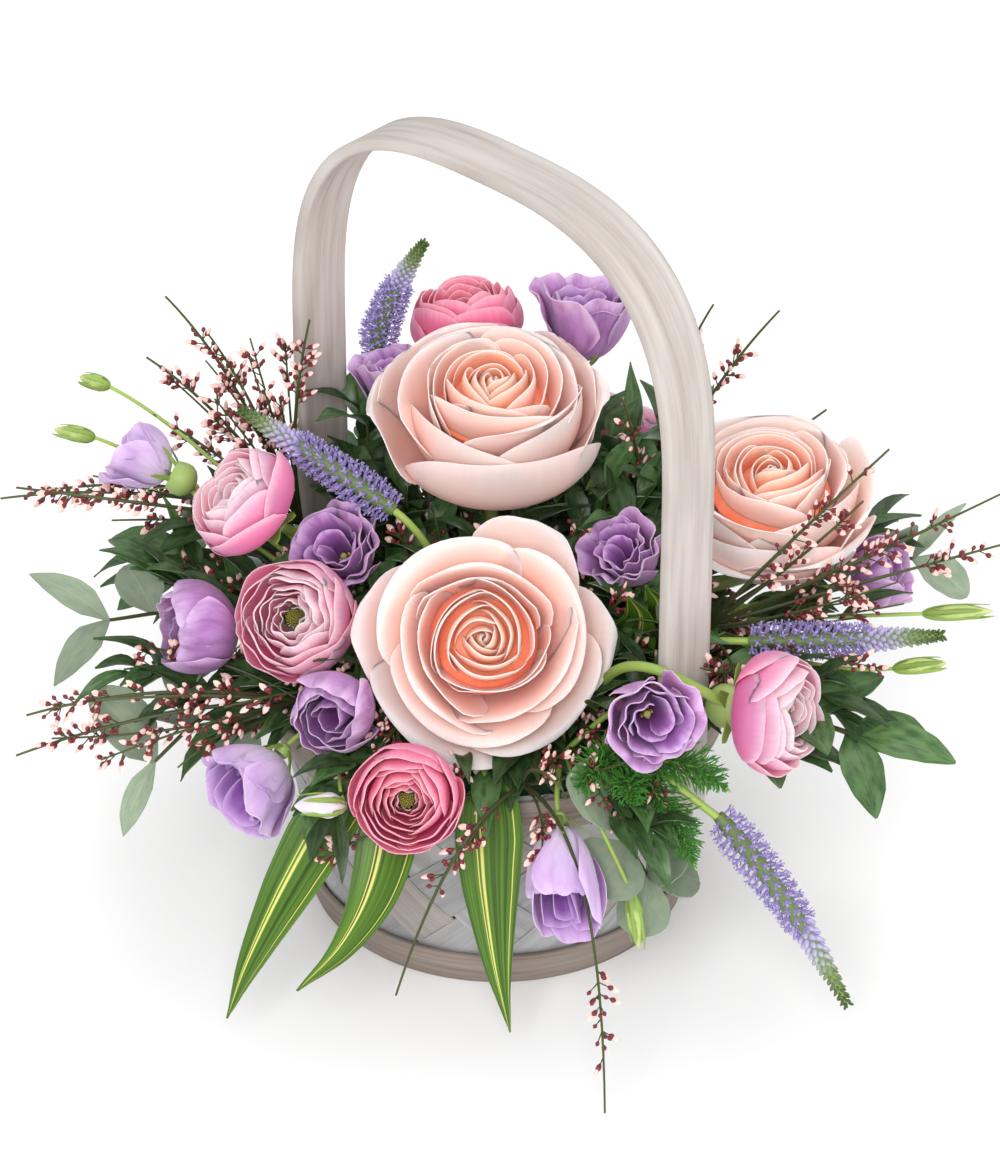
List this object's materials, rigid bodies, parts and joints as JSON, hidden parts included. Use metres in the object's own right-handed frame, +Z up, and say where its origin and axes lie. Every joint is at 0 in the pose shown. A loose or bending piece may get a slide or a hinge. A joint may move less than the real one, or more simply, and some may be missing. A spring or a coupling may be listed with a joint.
{
  "type": "flower basket arrangement",
  "caption": "Round whitewashed woven basket with a tall strap handle, filled with roses, ranunculus, lisianthus, speedwell spikes and trailing mixed foliage in foam.",
  "frame": {"origin": "centre of the basket's flat bottom, on the surface it stands on", "axes": "+Z up, -Y towards the side that the arrangement shows, +X to its right"},
  "size_m": [0.4324, 0.3874, 0.36],
  "materials": {
    "white_wood": "whitewashed, matt",
    "hoop_wood": "washed pinkish grey, matt",
    "board_wood": "raw, matt",
    "liner_film": "satin film",
    "floral_foam": "open and matt",
    "rose_petal": "blush petal, soft sheen",
    "rose_stem": "green stem and sepals",
    "ranunculus_pink": "pink petal, soft sheen",
    "ranunculus_hot_pink": "hot pink petal, soft sheen",
    "green_stem": "fresh green stem",
    "lisianthus_lilac": "lilac petal, soft sheen",
    "lisianthus_pale": "pale lilac petal, soft sheen",
    "speedwell": "lavender florets with a green tip",
    "striped_leaf": "satin leaf with pale stripes",
    "eucalyptus_leaf": "grey-green leaf with a bloom",
    "dark_leaf": "dark satin leaf",
    "fern_leaf": "soft matt leaf",
    "broom_twig": "thin twig with small buds"
  },
  "bodies": {
    "root": {"basket_wall": "white_wood", "handle": "white_wood", "base_hoop": "hoop_wood", "rim_hoop": "hoop_wood", "base_board": "board_wood", "liner": "liner_film", "foam": "floral_foam", "rose_front_petals": "rose_petal", "rose_front_stem": "rose_stem", "rose_back_petals": "rose_petal", "rose_back_stem": "rose_stem", "rose_right_petals": "rose_petal", "rose_right_stem": "rose_stem", "ranunculus_left_upper_petals": "ranunculus_pink", "ranunculus_left_upper_stem": "green_stem", "ranunculus_left_lower_petals": "ranunculus_pink", "ranunculus_left_lower_stem": "green_stem", "ranunculus_front_petals": "ranunculus_hot_pink", "ranunculus_front_stem": "green_stem", "ranunculus_right_petals": "ranunculus_pink", "ranunculus_right_stem": "green_stem", "ranunculus_back_upper_petals": "ranunculus_hot_pink", "ranunculus_back_upper_stem": "green_stem", "ranunculus_back_lower_petals": "ranunculus_pink", "ranunculus_back_lower_stem": "green_stem", "lisianthus_left_pale_petals": "lisianthus_pale", "lisianthus_left_inner_petals": "lisianthus_lilac", "lisianthus_left_outer_petals": "lisianthus_lilac", "lisianthus_lower_left_petals": "lisianthus_pale", "lisianthus_centre_left_petals": "lisianthus_lilac", "lisianthus_front_hanging_petals": "lisianthus_pale", "lisianthus_front_right_petals": "lisianthus_lilac", "lisianthus_centre_right_petals": "lisianthus_lilac", "lisianthus_right_outer_petals": "lisianthus_lilac", "lisianthus_back_top_petals": "lisianthus_lilac", "lisianthus_back_left_petals": "lisianthus_lilac", "lisianthus_left_green": "green_stem", "lisianthus_lower_left_green": "green_stem", "lisianthus_front_green": "green_stem", "lisianthus_right_green": "green_stem", "lisianthus_back_green": "green_stem", "speedwell_upper_left": "speedwell", "speedwell_left": "speedwell", "speedwell_right": "speedwell", "speedwell_lower_right": "speedwell", "speedwell_back": "speedwell", "striped_leaves_left": "striped_leaf", "striped_leaves_front": "striped_leaf", "eucalyptus_left": "eucalyptus_leaf", "eucalyptus_front": "eucalyptus_leaf", "eucalyptus_right": "eucalyptus_leaf", "dark_leaves_left": "dark_leaf", "dark_leaves_right": "dark_leaf", "dark_leaves_back": "dark_leaf", "fern_right": "fern_leaf", "broom_left": "broom_twig", "broom_lower_left": "broom_twig", "broom_right": "broom_twig", "broom_front": "broom_twig", "broom_back": "broom_twig"}
  },
  "joints": []
}
